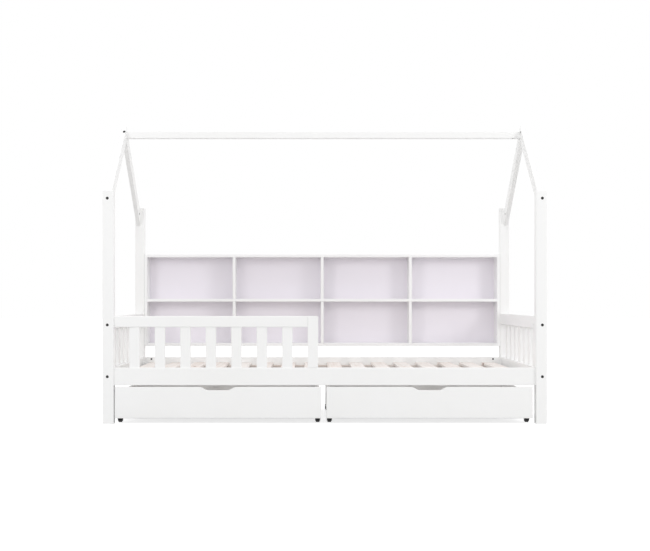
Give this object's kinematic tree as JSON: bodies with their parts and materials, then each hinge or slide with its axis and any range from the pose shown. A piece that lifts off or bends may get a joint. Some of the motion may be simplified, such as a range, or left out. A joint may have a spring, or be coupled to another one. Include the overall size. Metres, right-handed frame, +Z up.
{
  "type": "house bed",
  "caption": "Child's house bed of white painted wood with a roof frame, a part guard rail, a bookcase along the back and two rolling drawers under the slatted base.",
  "frame": {"origin": "on the floor, in the middle of the footprint", "axes": "+X along the bed to the end without the guard rail, +Y to the bookcase at the back, +Z up"},
  "size_m": [2.02, 1.14, 1.43],
  "materials": {
    "white_paint": "satin white paint over pine",
    "back_paint": "pale matt foil on a thin panel",
    "bare_pine": "planed and unfinished",
    "bolt_steel": "black oxide",
    "plated_steel": "zinc plated",
    "castor_plastic": "moulded grain",
    "wheel_plastic": "moulded, rolling surface polished"
  },
  "bodies": {
    "bed": {"barrel_nuts": "plated_steel", "bed_slats": "bare_pine", "bookcase_back": "back_paint", "bookcase_bottom": "white_paint", "bookcase_divider_1": "white_paint", "bookcase_divider_2": "white_paint", "bookcase_divider_3": "white_paint", "bookcase_left_side": "white_paint", "bookcase_right_side": "white_paint", "bookcase_screws": "plated_steel", "bookcase_shelf": "white_paint", "bookcase_top": "white_paint", "frame_bolts": "bolt_steel", "front_left_post": "white_paint", "front_left_rafter": "white_paint", "front_right_post": "white_paint", "front_right_rafter": "white_paint", "front_side_rail": "white_paint", "front_slat_cleat": "bare_pine", "guard_end_stile": "white_paint", "guard_slats": "white_paint", "guard_top_rail": "white_paint", "left_end_bottom_rail": "white_paint", "left_end_slats": "white_paint", "left_end_top_rail": "white_paint", "rail_dowels": "bare_pine", "rear_left_post": "white_paint", "rear_left_rafter": "white_paint", "rear_right_post": "white_paint", "rear_right_rafter": "white_paint", "rear_side_rail": "white_paint", "rear_slat_cleat": "bare_pine", "ridge_beam": "white_paint", "right_end_bottom_rail": "white_paint", "right_end_slats": "white_paint", "right_end_top_rail": "white_paint", "roof_bolts": "bolt_steel", "slat_screws": "plated_steel"},
    "left_drawer": {"left_drawer_back": "white_paint", "left_drawer_bottom": "white_paint", "left_drawer_castor_axles": "plated_steel", "left_drawer_castor_forks": "castor_plastic", "left_drawer_front": "white_paint", "left_drawer_left_side": "white_paint", "left_drawer_right_side": "white_paint"},
    "right_drawer": {"right_drawer_back": "white_paint", "right_drawer_bottom": "white_paint", "right_drawer_castor_axles": "plated_steel", "right_drawer_castor_forks": "castor_plastic", "right_drawer_front": "white_paint", "right_drawer_left_side": "white_paint", "right_drawer_right_side": "white_paint"},
    "left_drawer_front_left_wheel": {"left_drawer_front_left_wheel": "wheel_plastic"},
    "left_drawer_rear_left_wheel": {"left_drawer_rear_left_wheel": "wheel_plastic"},
    "left_drawer_front_right_wheel": {"left_drawer_front_right_wheel": "wheel_plastic"},
    "left_drawer_rear_right_wheel": {"left_drawer_rear_right_wheel": "wheel_plastic"},
    "right_drawer_front_left_wheel": {"right_drawer_front_left_wheel": "wheel_plastic"},
    "right_drawer_rear_left_wheel": {"right_drawer_rear_left_wheel": "wheel_plastic"},
    "right_drawer_front_right_wheel": {"right_drawer_front_right_wheel": "wheel_plastic"},
    "right_drawer_rear_right_wheel": {"right_drawer_rear_right_wheel": "wheel_plastic"}
  },
  "joints": [
    {"name": "left_drawer_slide", "type": "slide", "parent": "bed", "child": "left_drawer", "axis": [0, -1, 0], "range_m": [0, 0.7]},
    {"name": "right_drawer_slide", "type": "slide", "parent": "bed", "child": "right_drawer", "axis": [0, -1, 0], "range_m": [0, 0.7]},
    {"name": "left_drawer_front_left_wheel_spin", "type": "hinge", "parent": "left_drawer", "child": "left_drawer_front_left_wheel", "pos_m": [-0.942, -0.48, 0.012], "axis": [1, 0, 0], "range_deg": [0, 3344]},
    {"name": "left_drawer_rear_left_wheel_spin", "type": "hinge", "parent": "left_drawer", "child": "left_drawer_rear_left_wheel", "pos_m": [-0.942, 0.12, 0.012], "axis": [1, 0, 0], "range_deg": [0, 3344]},
    {"name": "left_drawer_front_right_wheel_spin", "type": "hinge", "parent": "left_drawer", "child": "left_drawer_front_right_wheel", "pos_m": [-0.032, -0.48, 0.012], "axis": [1, 0, 0], "range_deg": [0, 3344]},
    {"name": "left_drawer_rear_right_wheel_spin", "type": "hinge", "parent": "left_drawer", "child": "left_drawer_rear_right_wheel", "pos_m": [-0.032, 0.12, 0.012], "axis": [1, 0, 0], "range_deg": [0, 3344]},
    {"name": "right_drawer_front_left_wheel_spin", "type": "hinge", "parent": "right_drawer", "child": "right_drawer_front_left_wheel", "pos_m": [0.022, -0.48, 0.012], "axis": [1, 0, 0], "range_deg": [0, 3344]},
    {"name": "right_drawer_rear_left_wheel_spin", "type": "hinge", "parent": "right_drawer", "child": "right_drawer_rear_left_wheel", "pos_m": [0.022, 0.12, 0.012], "axis": [1, 0, 0], "range_deg": [0, 3344]},
    {"name": "right_drawer_front_right_wheel_spin", "type": "hinge", "parent": "right_drawer", "child": "right_drawer_front_right_wheel", "pos_m": [0.932, -0.48, 0.012], "axis": [1, 0, 0], "range_deg": [0, 3344]},
    {"name": "right_drawer_rear_right_wheel_spin", "type": "hinge", "parent": "right_drawer", "child": "right_drawer_rear_right_wheel", "pos_m": [0.932, 0.12, 0.012], "axis": [1, 0, 0], "range_deg": [0, 3344]}
  ],
  "couplings": [
    {"joint": "left_drawer_front_left_wheel_spin", "follows": "left_drawer_slide", "rad_per_m": 83.333},
    {"joint": "left_drawer_rear_left_wheel_spin", "follows": "left_drawer_slide", "rad_per_m": 83.333},
    {"joint": "left_drawer_front_right_wheel_spin", "follows": "left_drawer_slide", "rad_per_m": 83.333},
    {"joint": "left_drawer_rear_right_wheel_spin", "follows": "left_drawer_slide", "rad_per_m": 83.333},
    {"joint": "right_drawer_front_left_wheel_spin", "follows": "right_drawer_slide", "rad_per_m": 83.333},
    {"joint": "right_drawer_rear_left_wheel_spin", "follows": "right_drawer_slide", "rad_per_m": 83.333},
    {"joint": "right_drawer_front_right_wheel_spin", "follows": "right_drawer_slide", "rad_per_m": 83.333},
    {"joint": "right_drawer_rear_right_wheel_spin", "follows": "right_drawer_slide", "rad_per_m": 83.333}
  ]
}
